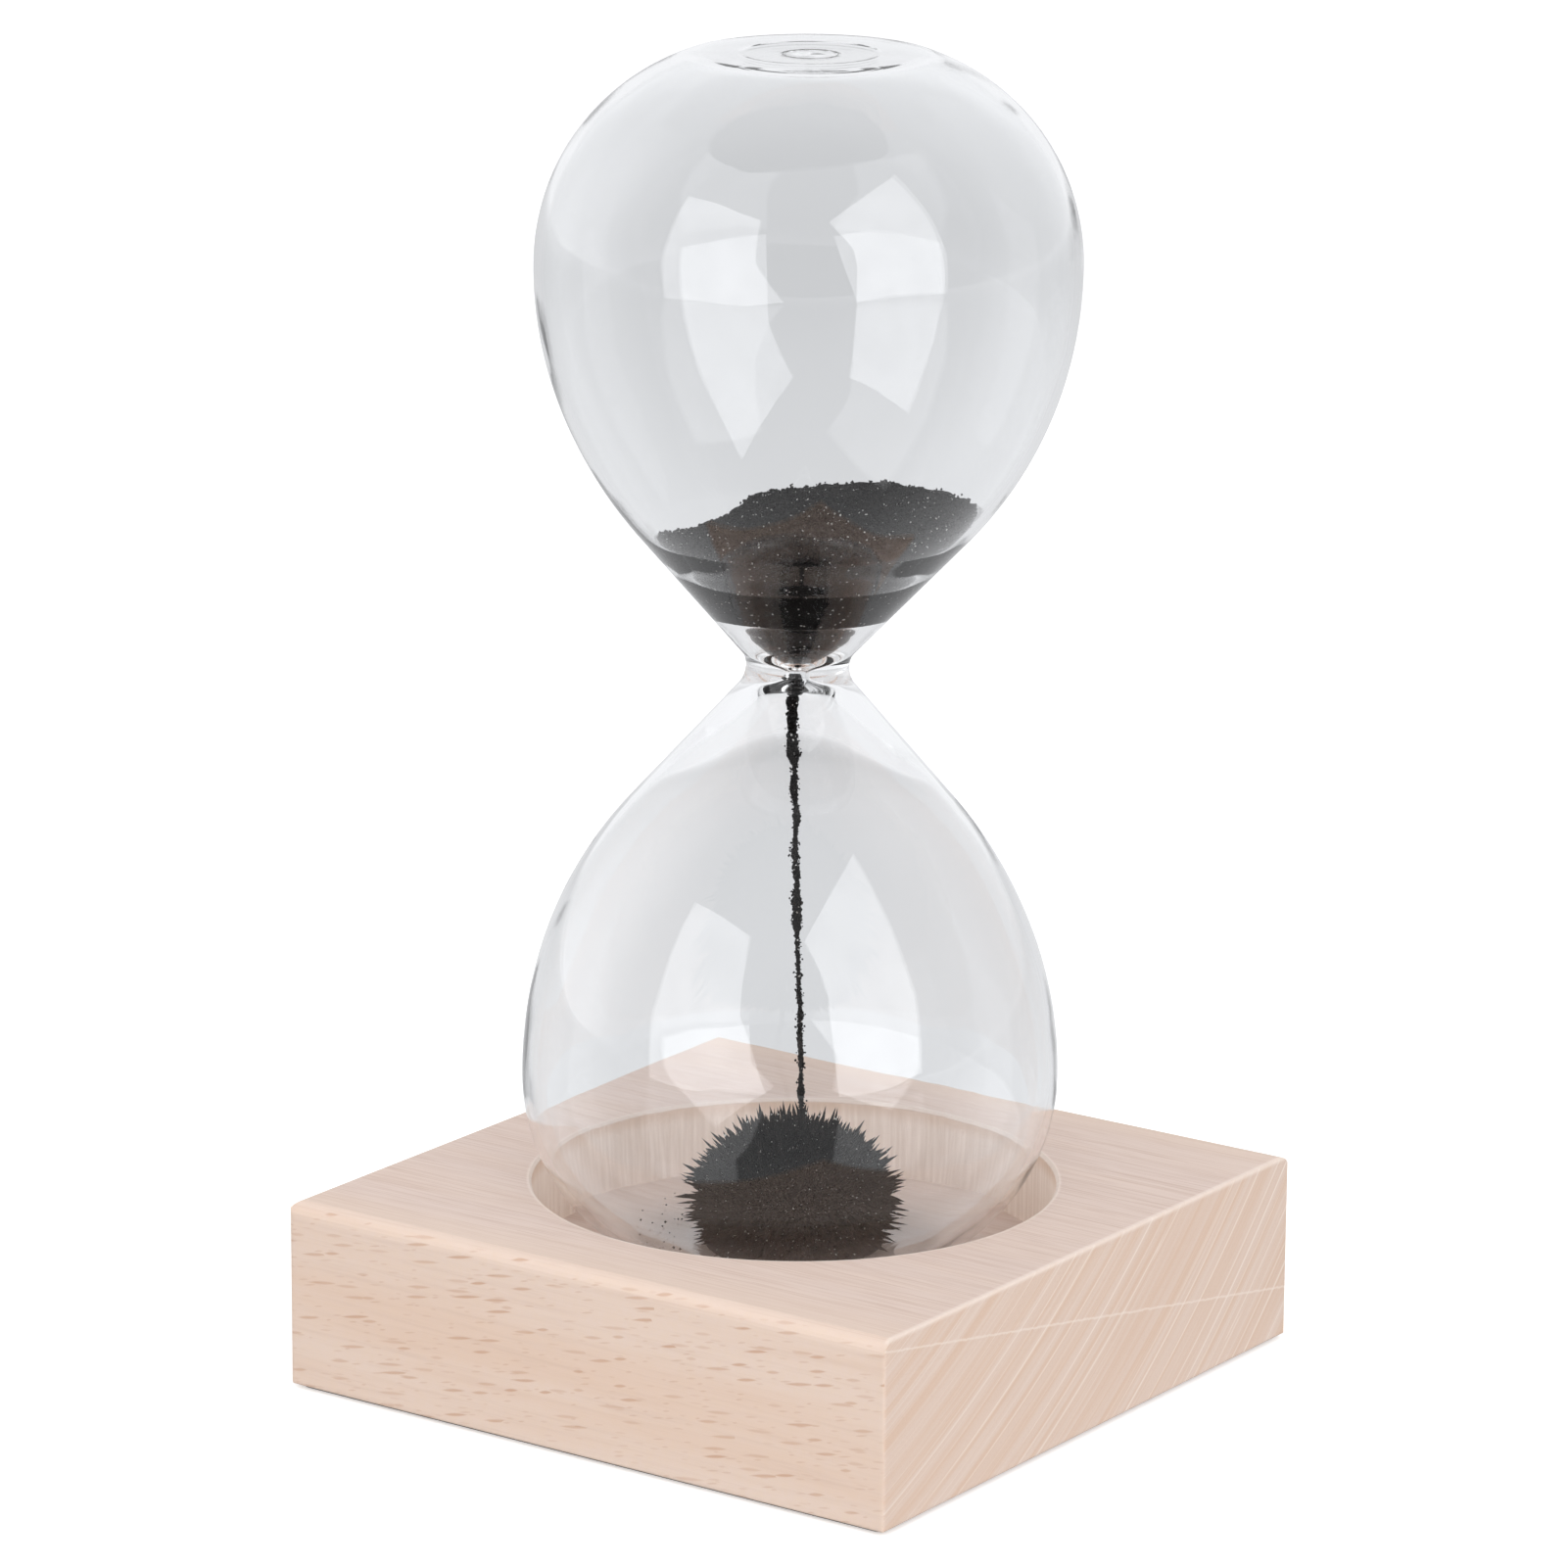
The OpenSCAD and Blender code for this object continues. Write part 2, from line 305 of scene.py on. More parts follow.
def beech():
    """Raw sanded beech with its fibres along X: fine brown lines on the top, ray flecks on the long
    sides, pale slanting rays and one scratch on the ends."""
    s = Shader("raw_beech")
    place = s.place()
    x, y, z = s.parts(place)[:3]

    fibre = s.noise(s.vector("MULTIPLY", place, (0.05, 1.6, 1.6)), detail=6.0, roughness=0.65)
    band = s.noise(s.vector("MULTIPLY", place, (0.012, 0.16, 0.16)), detail=3.0)
    mottle = s.noise(place, scale=0.9, detail=5.0, roughness=0.7)
    grit = s.noise(place, scale=4.5, detail=3.0, roughness=0.7)

    # Long sides: ray flecks
    leaning = s.math("MULTIPLY_ADD", x, -FLECK_SLOPE, z)
    flecks = dashes(s, x, leaning, (5.0, 1.5), 1.35, 0.17, 0.62, tilt=0.05)
    small = dashes(s, s.math("ADD", x, 3.3), leaning, (2.4, 0.8), 0.6, 0.09, 0.5, tilt=0.08)
    side = s.mix(s.fade(mottle, 0.35, 0.65), BEECH_SIDE, BEECH_END)
    side = s.mix(s.fade(band, 0.4, 0.7, 0.0, 0.35), side, BEECH_WARM)
    side = s.mix(s.fade(fibre, 0.45, 0.75, 0.0, 0.25), side, BEECH_LINE)
    side = s.mix(s.times(small, 0.4), side, BEECH_FLECK)
    side = s.mix(s.times(flecks, 0.75), side, BEECH_FLECK)

    # Top: fine lines along the fibres
    long_lines = dashes(s, x, y, (20.0, 0.6), 7.5, 0.07, 0.8, tilt=0.012)
    short_lines = dashes(s, s.math("ADD", x, 7.1), y, (8.0, 0.3), 3.0, 0.045, 0.8, tilt=0.02)
    top = s.mix(s.fade(band, 0.4, 0.7, 0.0, 0.3), BEECH_TOP, BEECH_SIDE)
    top = s.mix(s.fade(fibre, 0.42, 0.8, 0.0, 0.45), top, BEECH_LINE)
    top = s.mix(s.times(long_lines, 0.6), top, BEECH_LINE)
    top = s.mix(s.times(short_lines, 0.55), top, BEECH_LINE)
    near_side = s.fade(s.math("ABSOLUTE", y), BASE_HALF - 9, BASE_HALF - 1, 0.0, 0.6)
    top = s.mix(near_side, top, BEECH_SIDE)

    # Ends: rays that slant up towards +Y, with warm bands between them
    ray_u = s.math("MULTIPLY_ADD", y, math.cos(RAY_SLOPE), s.times(z, math.sin(RAY_SLOPE)))
    ray_v = s.math("MULTIPLY_ADD", z, math.cos(RAY_SLOPE), s.times(y, -math.sin(RAY_SLOPE)))
    bend = s.times(s.times(ray_u, ray_u), RAY_BEND)
    ray_v = s.math("SUBTRACT", ray_v, bend)
    sheets = s.noise(s.join(s.times(ray_u, 0.006), s.times(ray_v, 0.55)),
                     detail=4.0, roughness=0.75)
    rays = dashes(s, ray_u, ray_v, (90.0, 2.6), 60.0, 0.13, 0.75, tilt=0.01)
    fine_rays = dashes(s, ray_u, ray_v, (40.0, 0.7), 22.0, 0.05, 0.6, tilt=0.01)
    end = s.mix(s.fade(sheets, 0.38, 0.66, 0.0, 0.6), BEECH_END, BEECH_WARM)
    end = s.mix(s.fade(grit, 0.5, 0.8, 0.0, 0.35), end, BEECH_LINE)
    end = s.mix(s.times(fine_rays, 0.5), end, BEECH_PALE)
    end = s.mix(s.times(rays, 0.9), end, BEECH_PALE)
    level = s.math("MULTIPLY_ADD", y, SCRATCH_SLOPE, z)
    scratch = s.math("MULTIPLY_ADD", mottle, 0.5, SCRATCH_Z)
    off_scratch = s.math("ABSOLUTE", s.math("SUBTRACT", level, scratch))
    end = s.mix(s.fade(off_scratch, 0.04, 0.2, 0.6, 0.0), end, BEECH_PALE)

    colour = blend_by_face(s, end, side, top)

    # The bored recess: its wall is painted lighter than the wood, painted light that stands in for
    # light that does not reach into the recess, with streaks and warmer towards the rim; then a
    # painted highlight along its rim and the sharp end edge
    radius = s.distance(x, y)
    in_bore = s.times(s.fade(radius, RECESS_R - 0.15, RECESS_R - 0.02),
                      s.fade(radius, RECESS_R + 0.02, RECESS_R + 0.15, 1.0, 0.0))
    in_bore = s.times(in_bore, s.fade(z, BASE_TOP - 0.6, BASE_TOP - 0.3, 1.0, 0.0))
    streak = s.noise(s.vector("MULTIPLY", place, (2.2, 2.2, 0.12)), detail=4.0)
    bore = s.mix(s.fade(streak, 0.35, 0.7, 0.45, 1.0), BEECH_SIDE, BEECH_BORE_PAINTED_LIGHT)
    bore = s.mix(s.fade(z, BASE_TOP - 2.4, BASE_TOP - 0.5, 0.0, 0.6), bore, BEECH_WARM)
    colour = s.mix(s.times(in_bore, 0.9), colour, bore)
    # Painted highlight: a pale line along the recess rim and the sharp end edge, where these edges
    # catch the light
    off_rim = s.math("ABSOLUTE", s.math("SUBTRACT", radius, RECESS_R + 0.2))
    rim = s.times(s.fade(off_rim, 0.15, 0.5, 1.0, 0.0), s.fade(z, BASE_TOP - 0.5, BASE_TOP - 0.2))
    end_edge = s.times(s.fade(x, BASE_HALF - 0.7, BASE_HALF - 0.3),
                       s.fade(z, BASE_TOP - 0.7, BASE_TOP - 0.3))
    edge_highlight = s.math("MAXIMUM", rim, end_edge)
    colour = s.mix(s.times(edge_highlight, 0.55), colour, BEECH_PALE)

    height = s.math("SUBTRACT", s.times(fibre, 0.6), s.times(flecks, 0.3))
    height = s.math("MULTIPLY_ADD", grit, 0.4, height)
    rough = s.fade(fibre, 0.3, 0.7, 0.62, 0.78)
    surface = s.principled({"Base Color": colour, "Roughness": rough, "Specular IOR Level": 0.3,
                            "Normal": s.bump(height, 0.35, 0.12)})
    return s.finish(surface)


# ---------------------------------------------------------------- the other materials

POWDER_DARK = rgb(0.003, 0.0024, 0.0022)
POWDER_LIGHT = rgb(0.010, 0.0085, 0.008)
POWDER_FACET = rgb(0.55, 0.54, 0.52)
SPARKLE_SHARE = 0.012


def clear_glass():
    """Clear soda-lime glass that lets the lamps' light through to what it holds."""
    s = Shader("clear_glass")
    waves = s.noise(s.place(), scale=0.09, detail=1.0)
    glass = s.principled({"Base Color": rgb(0.992, 0.996, 1.0), "Roughness": 0.0, "IOR": 1.47,
                          "Transmission Weight": 1.0, "Normal": s.bump(waves, 0.25, 0.5)})
    clear = s.add("ShaderNodeBsdfTransparent").outputs[0]
    return s.finish(s.seen_by("Is Shadow Ray", glass, clear))


def iron_powder():
    """Fine iron powder: nearly black, uneven, with facets that catch the light."""
    s = Shader("iron_powder")
    place = s.place()
    tone = s.noise(place, scale=0.45, detail=5.0, roughness=0.7)
    colour = s.mix(s.fade(tone, 0.35, 0.7), POWDER_DARK, POWDER_LIGHT)
    chance = s.cells(place, scale=5.5)[1]
    shiny = s.math("GREATER_THAN", chance[0], 1.0 - SPARKLE_SHARE)
    colour = s.mix(shiny, colour, POWDER_FACET)
    grains = s.cells(place, scale=4.0)[0].outputs["Distance"]
    surface = s.principled({"Base Color": colour, "Metallic": s.times(shiny, 0.9),
                            "Roughness": s.fade(shiny, 0.0, 1.0, 0.7, 0.28),
                            "Specular IOR Level": 0.1, "Normal": s.bump(grains, 0.8, 0.12)})
    return s.finish(surface)


def nickel_plate():
    s = Shader("nickel_plate")
    place = s.place()
    swirl = s.noise(s.vector("MULTIPLY", place, (1.0, 1.0, 6.0)), scale=1.2, detail=5.0)
    colour = s.mix(s.fade(swirl, 0.35, 0.7), rgb(0.62, 0.60, 0.56), rgb(0.74, 0.73, 0.70))
    surface = s.principled({"Base Color": colour, "Metallic": 1.0,
                            "Roughness": s.fade(swirl, 0.3, 0.7, 0.16, 0.34),
                            "Normal": s.bump(swirl, 0.1, 0.02)})
    return s.finish(surface)


def hot_melt():
    s = Shader("hot_melt_adhesive")
    cloud = s.noise(s.place(), scale=0.35, detail=4.0)
    colour = s.mix(s.fade(cloud, 0.35, 0.7), rgb(0.72, 0.68, 0.56), rgb(0.82, 0.79, 0.70))
    surface = s.principled({"Base Color": colour, "Roughness": s.fade(cloud, 0.3, 0.7, 0.3, 0.45),
                            "Subsurface Weight": 0.25, "Subsurface Scale": 2 * MM,
                            "Normal": s.bump(cloud, 0.4, 0.3)})
    return s.finish(surface)


def felt_and_painted_shade():
    """Thin dark sheet under the block, a felt pad that is partly painted shade: its dark colour
    also stands in for the contact shadow, a thin dark line along the block's bottom edge.
    """
    s = Shader("dark_felt_and_painted_shade")
    place = s.place()
    fuzz = s.noise(place, scale=3.2, detail=6.0, roughness=0.8)
    tone = s.noise(place, scale=0.08, detail=2.0)
    colour = s.mix(s.fade(fuzz, 0.3, 0.7), rgb(0.055, 0.052, 0.050), rgb(0.120, 0.115, 0.110))
    colour = s.mix(s.fade(tone, 0.3, 0.7, 0.0, 0.3), colour, rgb(0.09, 0.08, 0.07))
    surface = s.principled({"Base Color": colour, "Roughness": 0.95, "Sheen Weight": 0.3,
                            "Specular IOR Level": 0.1, "Normal": s.bump(fuzz, 0.6, 0.2)})
    return s.finish(surface)


# ---------------------------------------------------------------- mesh helpers

LONG_STEPS = 40
SHORT_STEPS = 36
HOLLOW_STEPS = 14
CURVE_STEPS = 10
CORNER_STEPS = 8


def arc(centre, radius, start, end, steps):
    """Points (r, z) on an arc from angle start to angle end, both included."""
    turns = [start + (end - start) * i / steps for i in range(steps + 1)]
    return [(centre[0] + radius * math.cos(t), centre[1] + radius * math.sin(t)) for t in turns]


def curve(points):
    """A smooth curve through the given points, without the last of them."""
    made = []
    for i in range(len(points) - 1):
        a, b, c = points[max(i - 1, 0)], points[i], points[i + 1]
        d = points[min(i + 2, len(points) - 1)]
        for j in range(CURVE_STEPS):
            t = j / CURVE_STEPS
            made.append(tuple(q + (t * (r - p) + t * t * (2 * p - 5 * q + 4 * r - u)
                                   + t ** 3 * (3 * q - p - 3 * r + u)) / 2
                              for p, q, r, u in zip(a, b, c, d)))
    return made


def line_angle(bulb):
    """Angle at which the straight stretch by the neck meets the bulb's long arc."""
    reach = (NECK_R + bulb["hollow"] - BULB_R + bulb["long"], -bulb["widest"])
    turn = math.acos((bulb["long"] + bulb["hollow"]) / math.hypot(*reach))
    return math.atan2(reach[1], reach[0]) + turn


def bulb_outline(bulb, inset, end):
    """A bulb's outline as (radius, distance from the neck), from the start of its long arc to its
    flat end, on the surface that lies inset inside the outer face. The CAD draws the same arcs."""
    long_r, short_r = bulb["long"] - inset, bulb["short"] - inset
    last = math.asin((end - bulb["widest"]) / short_r)
    long_arc = arc((BULB_R - bulb["long"], bulb["widest"]), long_r,
                   line_angle(bulb), 0.0, LONG_STEPS)
    short_arc = arc((BULB_R - bulb["short"], bulb["widest"]), short_r, 0.0, last, SHORT_STEPS)
    return long_arc + short_arc[1:]


def soften_end(outline, size):
    """Rounds the corner where an outline meets its flat end, which lies square to the axis."""
    corner_r, end_z = outline[-1]
    kept = [p for p in outline if math.hypot(p[0] - corner_r, p[1] - end_z) > size]
    start, corner, stop = kept[-1], outline[-1], (corner_r - size, end_z)
    for i in range(1, CORNER_STEPS + 1):
        t = i / CORNER_STEPS
        kept.append(tuple((1 - t) ** 2 * a + 2 * t * (1 - t) * b + t * t * c
                          for a, b, c in zip(start, corner, stop)))
    return kept


def smooth_step(value, start, end):
    """0 at start and 1 at end, with a smooth change between them."""
    t = min(max((value - start) / (end - start), 0), 1)
    return t * t * (3 - 2 * t)


def around_axis(r, a, z=0.0):
    """The point at a radius, an angle and a height."""
    return Vector((r * math.cos(a), r * math.sin(a), z))


def bridge(faces, low, high, count):
    """Adds the faces between two rings of count vertices, given their first ones."""
    for j in range(count):
        k = (j + 1) % count
        faces.append([low + j, low + k, high + k, high + j])


def lean(point):
    """The blown glass is a little crooked: its bulbs sit to opposite sides of the neck."""
    height = point.z - NECK_Z
    return point + SIDEWAYS * math.tanh(height / LEAN_HEIGHT) * (
        UPPER_LEAN if height > 0 else LOWER_LEAN)


def turned(outline, segments, shape):
    """Vertices in mm and faces of a closed outline [(r, z)] turned round Z. A point on the axis
    becomes one vertex. shape moves each point."""
    rows, points = [], []
    for r, z in outline:
        count = 1 if r < 1e-6 else segments
        rows.append((len(points), count))
        for j in range(count):
            points.append(shape(around_axis(r, 2 * math.pi * j / segments, z)))
    faces = []
    for (a, na), (b, nb) in zip(rows, rows[1:] + rows[:1]):
        if na == 1 and nb == 1:
            continue
        for j in range(segments):
            k = (j + 1) % segments
            ring = [a + j % na, a + k % na, b + k % nb, b + j % nb]
            faces.append([v for i, v in enumerate(ring) if v != ring[i - 1]])
    return points, faces


def add_mesh(name, points, faces, material):
    """A mesh object from points in mm, with its material."""
    mesh = bpy.data.meshes.new(name)
    mesh.from_pydata([tuple(p * MM) for p in points], [], faces)
    mesh.materials.append(material)
    made = bpy.data.objects.new(name, mesh)
    bpy.context.scene.collection.objects.link(made)
    return made


def make_piece(name, points, faces, material, replaced, smooth=True):
    """A piece that stands for a CAD node and rides on the glass."""
    piece = add_mesh(name, points, faces, material)
    piece.data.validate()
    piece.data.polygons.foreach_set("use_smooth", [smooth] * len(piece.data.polygons))
    piece.data.update()
    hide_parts(replaced)
    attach(piece, "glass")


def make_powder(name, points, faces, material, replaced):
    """A flat-shaded piece of iron powder."""
    make_piece(name, points, faces, material, replaced, smooth=False)


# ---------------------------------------------------------------- glass

GLASS_SEGMENTS = 160
SEAL_SEGMENTS = 64
WAVE_SCALE = 0.045
WAVE_DEPTH = 0.16
SEAL_GAP = 0.015
SEAL_DROP = 0.5
SEAL_RISE = 0.3
SWIRL_DEPTH = 0.06


def from_foot_to_top(below, above):
    """Joins the outlines of the lower and the upper bulb into one [(r, z)] that runs upwards."""
    lower = [(r, NECK_Z - d) for r, d in below]
    upper = [(r, NECK_Z + d) for r, d in above]
    return lower[::-1] + upper[1:]


def inner_half(bulb, near_neck, end_wall):
    wall = bulb_outline(bulb, WALL, bulb["length"] - end_wall)
    return soften_end(curve(near_neck + wall[:1]) + wall, bulb["soft_in"])


def inner_outline():
    return from_foot_to_top(inner_half(LOWER, BELL, END_WALL), inner_half(UPPER, FUNNEL, WALL))


def outer_half(bulb):
    hollow = arc((NECK_R + bulb["hollow"], 0.0), bulb["hollow"],
                 math.pi, math.pi + line_angle(bulb), HOLLOW_STEPS)
    return soften_end(hollow + bulb_outline(bulb, 0.0, bulb["length"]), bulb["soft_out"])


def outer_outline():
    return from_foot_to_top(outer_half(LOWER), outer_half(UPPER))


def dish_z(r):
    """Height of the upper end's outer face, which has sunk a little inside a faint step."""
    sunk = 1 - min(r / DISH_R, 1) ** 2
    step = smooth_step(r, DISH_R + DISH_STEP_HALF, DISH_R - DISH_STEP_HALF)
    return TOP_Z - (DISH_DEPTH - DISH_STEP) * sunk - DISH_STEP * step


def hand_blown(point):
    """Slight waviness of blown glass, none on the axis, then the lean."""
    r = math.hypot(point.x, point.y)
    wave = noise.noise(point * WAVE_SCALE) * WAVE_DEPTH
    grown = 1 + wave * min(r / 10, 1) / max(r, 1)
    return lean(Vector((point.x * grown, point.y * grown, point.z)))


def make_glass(material):
    # Narrow rings over the dish's step, then wider ones in to the filling hole
    radii = [DISH_R + 0.9 - 0.15 * i for i in range(12)]
    radii += [radii[-1] + (HOLE_R - radii[-1]) * i / 10 for i in range(1, 11)]
    dish = [(r, dish_z(r)) for r in radii]
    under = [(r, z - WALL) for r, z in dish]
    outline = [(0.0, FOOT_Z)] + outer_outline() + dish + under[::-1] + inner_outline()[::-1]
    points, faces = turned(outline + [(0.0, FLOOR_Z)], GLASS_SEGMENTS, hand_blown)
    make_piece("blown_glass", points, faces, material, "glass_vessel")


def make_seal(material):
    """Drop of glass fused into the filling hole, with the swirl left by the pinched-off tube."""
    r = HOLE_R - SEAL_GAP
    high = dish_z(HOLE_R)
    low = high - WALL
    under = [(r * math.sin(t), low - SEAL_DROP * math.cos(t)) for t in
             (math.pi / 2 * i / 10 for i in range(10))]
    over = [(r * (1 - i / 12), high + SEAL_RISE * math.sin(i / 12 * math.pi / 2) ** 2)
            for i in range(13)]
    outline = under + [(r, low)] + over[:-1] + [(0.0, over[-1][1])]

    def swirl(point):
        d = math.hypot(point.x, point.y)
        a = math.atan2(point.y, point.x)
        lift = SWIRL_DEPTH * math.sin(3 * a + 2.2 * d) * min(d, 1) * max(0, 1 - d / r)
        return lean(point + Vector((0, 0, lift if point.z > low else -lift)))

    points, faces = turned(outline, SEAL_SEGMENTS, swirl)
    make_piece("fused_seal", points, faces, material, "fill_seal")


# ---------------------------------------------------------------- iron powder

INNER_FACE = inner_outline()


def inner_radius(z):
    """Radius of the glass's inner face at a height."""
    for (r0, z0), (r1, z1) in zip(INNER_FACE, INNER_FACE[1:]):
        if z0 <= z <= z1 and z1 > z0:
            return r0 + (r1 - r0) * (z - z0) / (z1 - z0)
    return 0.0


def floor_height(r):
    """Height of the lower bulb's inner face at a radius from its axis."""
    for (r0, z0), (r1, z1) in zip(INNER_FACE, INNER_FACE[1:]):
        if r < r0 or r1 < r0:
            break
        if r <= r1:
            return z0 + (z1 - z0) * (r - r0) / (r1 - r0)
    return FLOOR_Z


OCTAHEDRON = [Vector(v) for v in ((1, 0, 0), (0, 1, 0), (-1, 0, 0), (0, -1, 0),
                                  (0, 0, 1), (0, 0, -1))]
OCTA_FACES = [(0, 1, 4), (1, 2, 4), (2, 3, 4), (3, 0, 4),
              (1, 0, 5), (2, 1, 5), (3, 2, 5), (0, 3, 5)]
SPIKE_SIDES = 5
SPIKE_RINGS = 3


def add_grain(points, faces, rng, centre, size):
    """One irregular grain: a turned octahedron with uneven corners."""
    angle = rng.uniform(0, math.tau)
    turn = Matrix.Rotation(angle, 3, Vector((rng.gauss(0, 1), rng.gauss(0, 1), 1)))
    first = len(points)
    points.extend(centre + turn @ v * size * rng.uniform(0.6, 1.3) for v in OCTAHEDRON)
    faces.extend([first + i for i in face] for face in OCTA_FACES)


def add_spike(points, faces, rng, root, along, length, width):
    """One tuft of powder: a crooked five-sided spike of stacked grains."""
    side = along.orthogonal().normalized()
    other = along.cross(side)
    first = len(points)
    drift = (side * rng.uniform(-1, 1) + other * rng.uniform(-1, 1)) * 0.12 * length
    for ring in range(SPIKE_RINGS):
        t = ring / SPIKE_RINGS
        for j in range(SPIKE_SIDES):
            a = math.tau * (j + 0.5 * ring) / SPIKE_SIDES
            r = width * (1 - t) ** 0.8 * rng.uniform(0.65, 1.25)
            points.append(root + along * length * t + drift * t * t
                          + (side * math.cos(a) + other * math.sin(a)) * r)
    tip = len(points)
    points.append(root + along * length + drift)
    starts = range(first, tip, SPIKE_SIDES)
    for low, high in zip(starts, starts[1:]):
        bridge(faces, low, high, SPIKE_SIDES)
    last = starts[-1]
    faces.extend([last + j, last + (j + 1) % SPIKE_SIDES, tip] for j in range(SPIKE_SIDES))
    faces.append([first + j for j in reversed(range(SPIKE_SIDES))])


CLUMP_R = CLUMP_HIGH.x
CLUMP_WAIST = CLUMP_LOW.z + 0.36 * (CLUMP_HIGH.z - CLUMP_LOW.z)
CLUMP_RISE = CLUMP_HIGH.z - CLUMP_WAIST
CLUMP_DROP = 2.0 * (CLUMP_WAIST - CLUMP_LOW.z)
CLUMP_FOOT = math.radians(28)
CLUMP_CORE = 1.7
CLUMP_ARC = math.pi / 2 + CLUMP_FOOT
CLUMP_SEGMENTS = 96
CLUMP_ROWS = 30
FOOT_ROWS = 6

# Layers of tufts, from short and dense to long and sparse: the spacing, the least and the greatest
# distance of the tips from the clump's smooth surface at the top and then at the flanks, and the
# range of widths
TUFTS = (
    (0.56, (-1.2, -0.4, -1.2, -0.3), (0.16, 0.28)),
    (0.78, (-0.8, 0.3, -0.7, 0.6), (0.22, 0.36)),
    (1.7, (0.0, 1.1, 0.4, 2.1), (0.32, 0.54)),
)


def clump_point(t, a):
    """Point and outward direction on the clump at latitude t, from -CLUMP_FOOT to a quarter
    turn."""
    rise = CLUMP_RISE if t > 0 else CLUMP_DROP
    point = around_axis(CLUMP_R * math.cos(t), a, CLUMP_WAIST + rise * math.sin(t))
    out = around_axis(math.cos(t) / CLUMP_R, a, math.sin(t) / rise)
    return point, out.normalized()


def add_tufts(points, faces, rng, spacing, reach, width):
    """One layer of TUFTS all over the clump."""
    rows = round(CLUMP_ARC * CLUMP_R / spacing)
    for row in range(rows):
        t = -CLUMP_FOOT + CLUMP_ARC * (row + 0.5) / rows
        flank = math.cos(t) ** 0.7
        low = reach[0] + (reach[2] - reach[0]) * flank
        high = reach[1] + (reach[3] - reach[1]) * flank
        around = max(3, round(math.tau * CLUMP_R * math.cos(t) / spacing))
        for j in range(around):
            a = math.tau * (j + row % 2 / 2 + rng.uniform(-0.35, 0.35)) / around
            root, out = clump_point(t + rng.uniform(-0.3, 0.3) * spacing / CLUMP_R, a)
            if out.z < 0:
                out = Vector((out.x, out.y, out.z * 0.3)).normalized()
            along = (out + Vector([rng.uniform(-0.2, 0.2) for _ in range(3)])).normalized()
            length = CLUMP_CORE + rng.uniform(low, high)
            tip = root + along * (length - CLUMP_CORE)
            if tip.z > floor_height(math.hypot(tip.x, tip.y)) + 0.15:
                add_spike(points, faces, rng, root - out * CLUMP_CORE, along, length,
                          rng.uniform(*width))


def make_clump(material):
    """The clump: a rough dome covered in tufts that stand along the magnet's field."""
    rng = random.Random(7)
    radii = [CLUMP_R * math.cos(CLUMP_FOOT) * i / FOOT_ROWS for i in range(FOOT_ROWS + 1)]
    foot = [(r, floor_height(r) + POWDER_GAP) for r in radii]
    turns = [-CLUMP_FOOT + CLUMP_ARC * i / CLUMP_ROWS for i in range(1, CLUMP_ROWS)]
    tops = [clump_point(t, 0)[0] for t in turns]
    dome = [(p.x, p.z) for p in tops] + [(0.0, CLUMP_HIGH.z)]

    def rough(point):
        if point.z < CLUMP_LOW.z + 0.6:
            return point
        out = Vector((point.x, point.y, (point.z - CLUMP_WAIST) * 1.2)).normalized()
        return point + out * (-CLUMP_CORE + 0.4 * noise.noise(point * 0.9)
                              + 0.25 * noise.noise(point * 2.7))

    points, faces = turned(foot + dome, CLUMP_SEGMENTS, rough)
    for spacing, reach, width in TUFTS:
        add_tufts(points, faces, rng, spacing, reach, width)
    make_powder("iron_clump", points, faces, material, "powder_clump")


HEAP_SEGMENTS = 180
HEAP_WALL_ROWS = 60
HEAP_TOP_ROWS = 34
HEAP_GRAINS = 6000


def heap_surface(x, y):
    """Height of the heap's surface, which slopes and has slumped on one side of its low end."""
    uphill = x * math.cos(HEAP_TURN) + y * math.sin(HEAP_TURN)
    aside = y * math.cos(HEAP_TURN) - x * math.sin(HEAP_TURN)
    slump = 1.6 * smooth_step(uphill, -5, -10) * smooth_step(aside, -2, 8)
    edge_highlight = 0.4 * smooth_step(uphill, 8, 16)
    return NECK_Z + HEAP_H + 0.2 + uphill * math.tan(HEAP_SLOPE) - slump - edge_highlight


def heap_rim(a):
    """Radius at which the heap's surface meets the glass in a direction."""
    r = 12.0
    for _ in range(25):
        r = inner_radius(heap_surface(r * math.cos(a), r * math.sin(a))) - POWDER_GAP
    return r


def wall_gap(z):
    """Gap between the powder and the glass at a height."""
    up = z - NECK_Z
    free = 1 - smooth_step(up, *PRESSED_LOW) * (1 - smooth_step(up, *PRESSED_HIGH))
    return POWDER_PRESSED + (POWDER_GAP - POWDER_PRESSED) * free


def heap_top(x, y, lift=0.0):
    """The point that lies lift above the heap's bumpy surface at (x, y)."""
    p = Vector((x, y, 0))
    bumps = (0.3 * noise.noise(p * 0.45) + 0.4 * noise.noise(p * 1.3)
             + 0.3 * noise.noise(p * 2.6) + 0.2 * noise.noise(p * 5.2))
    return Vector((x, y, heap_surface(x, y) + bumps + lift))


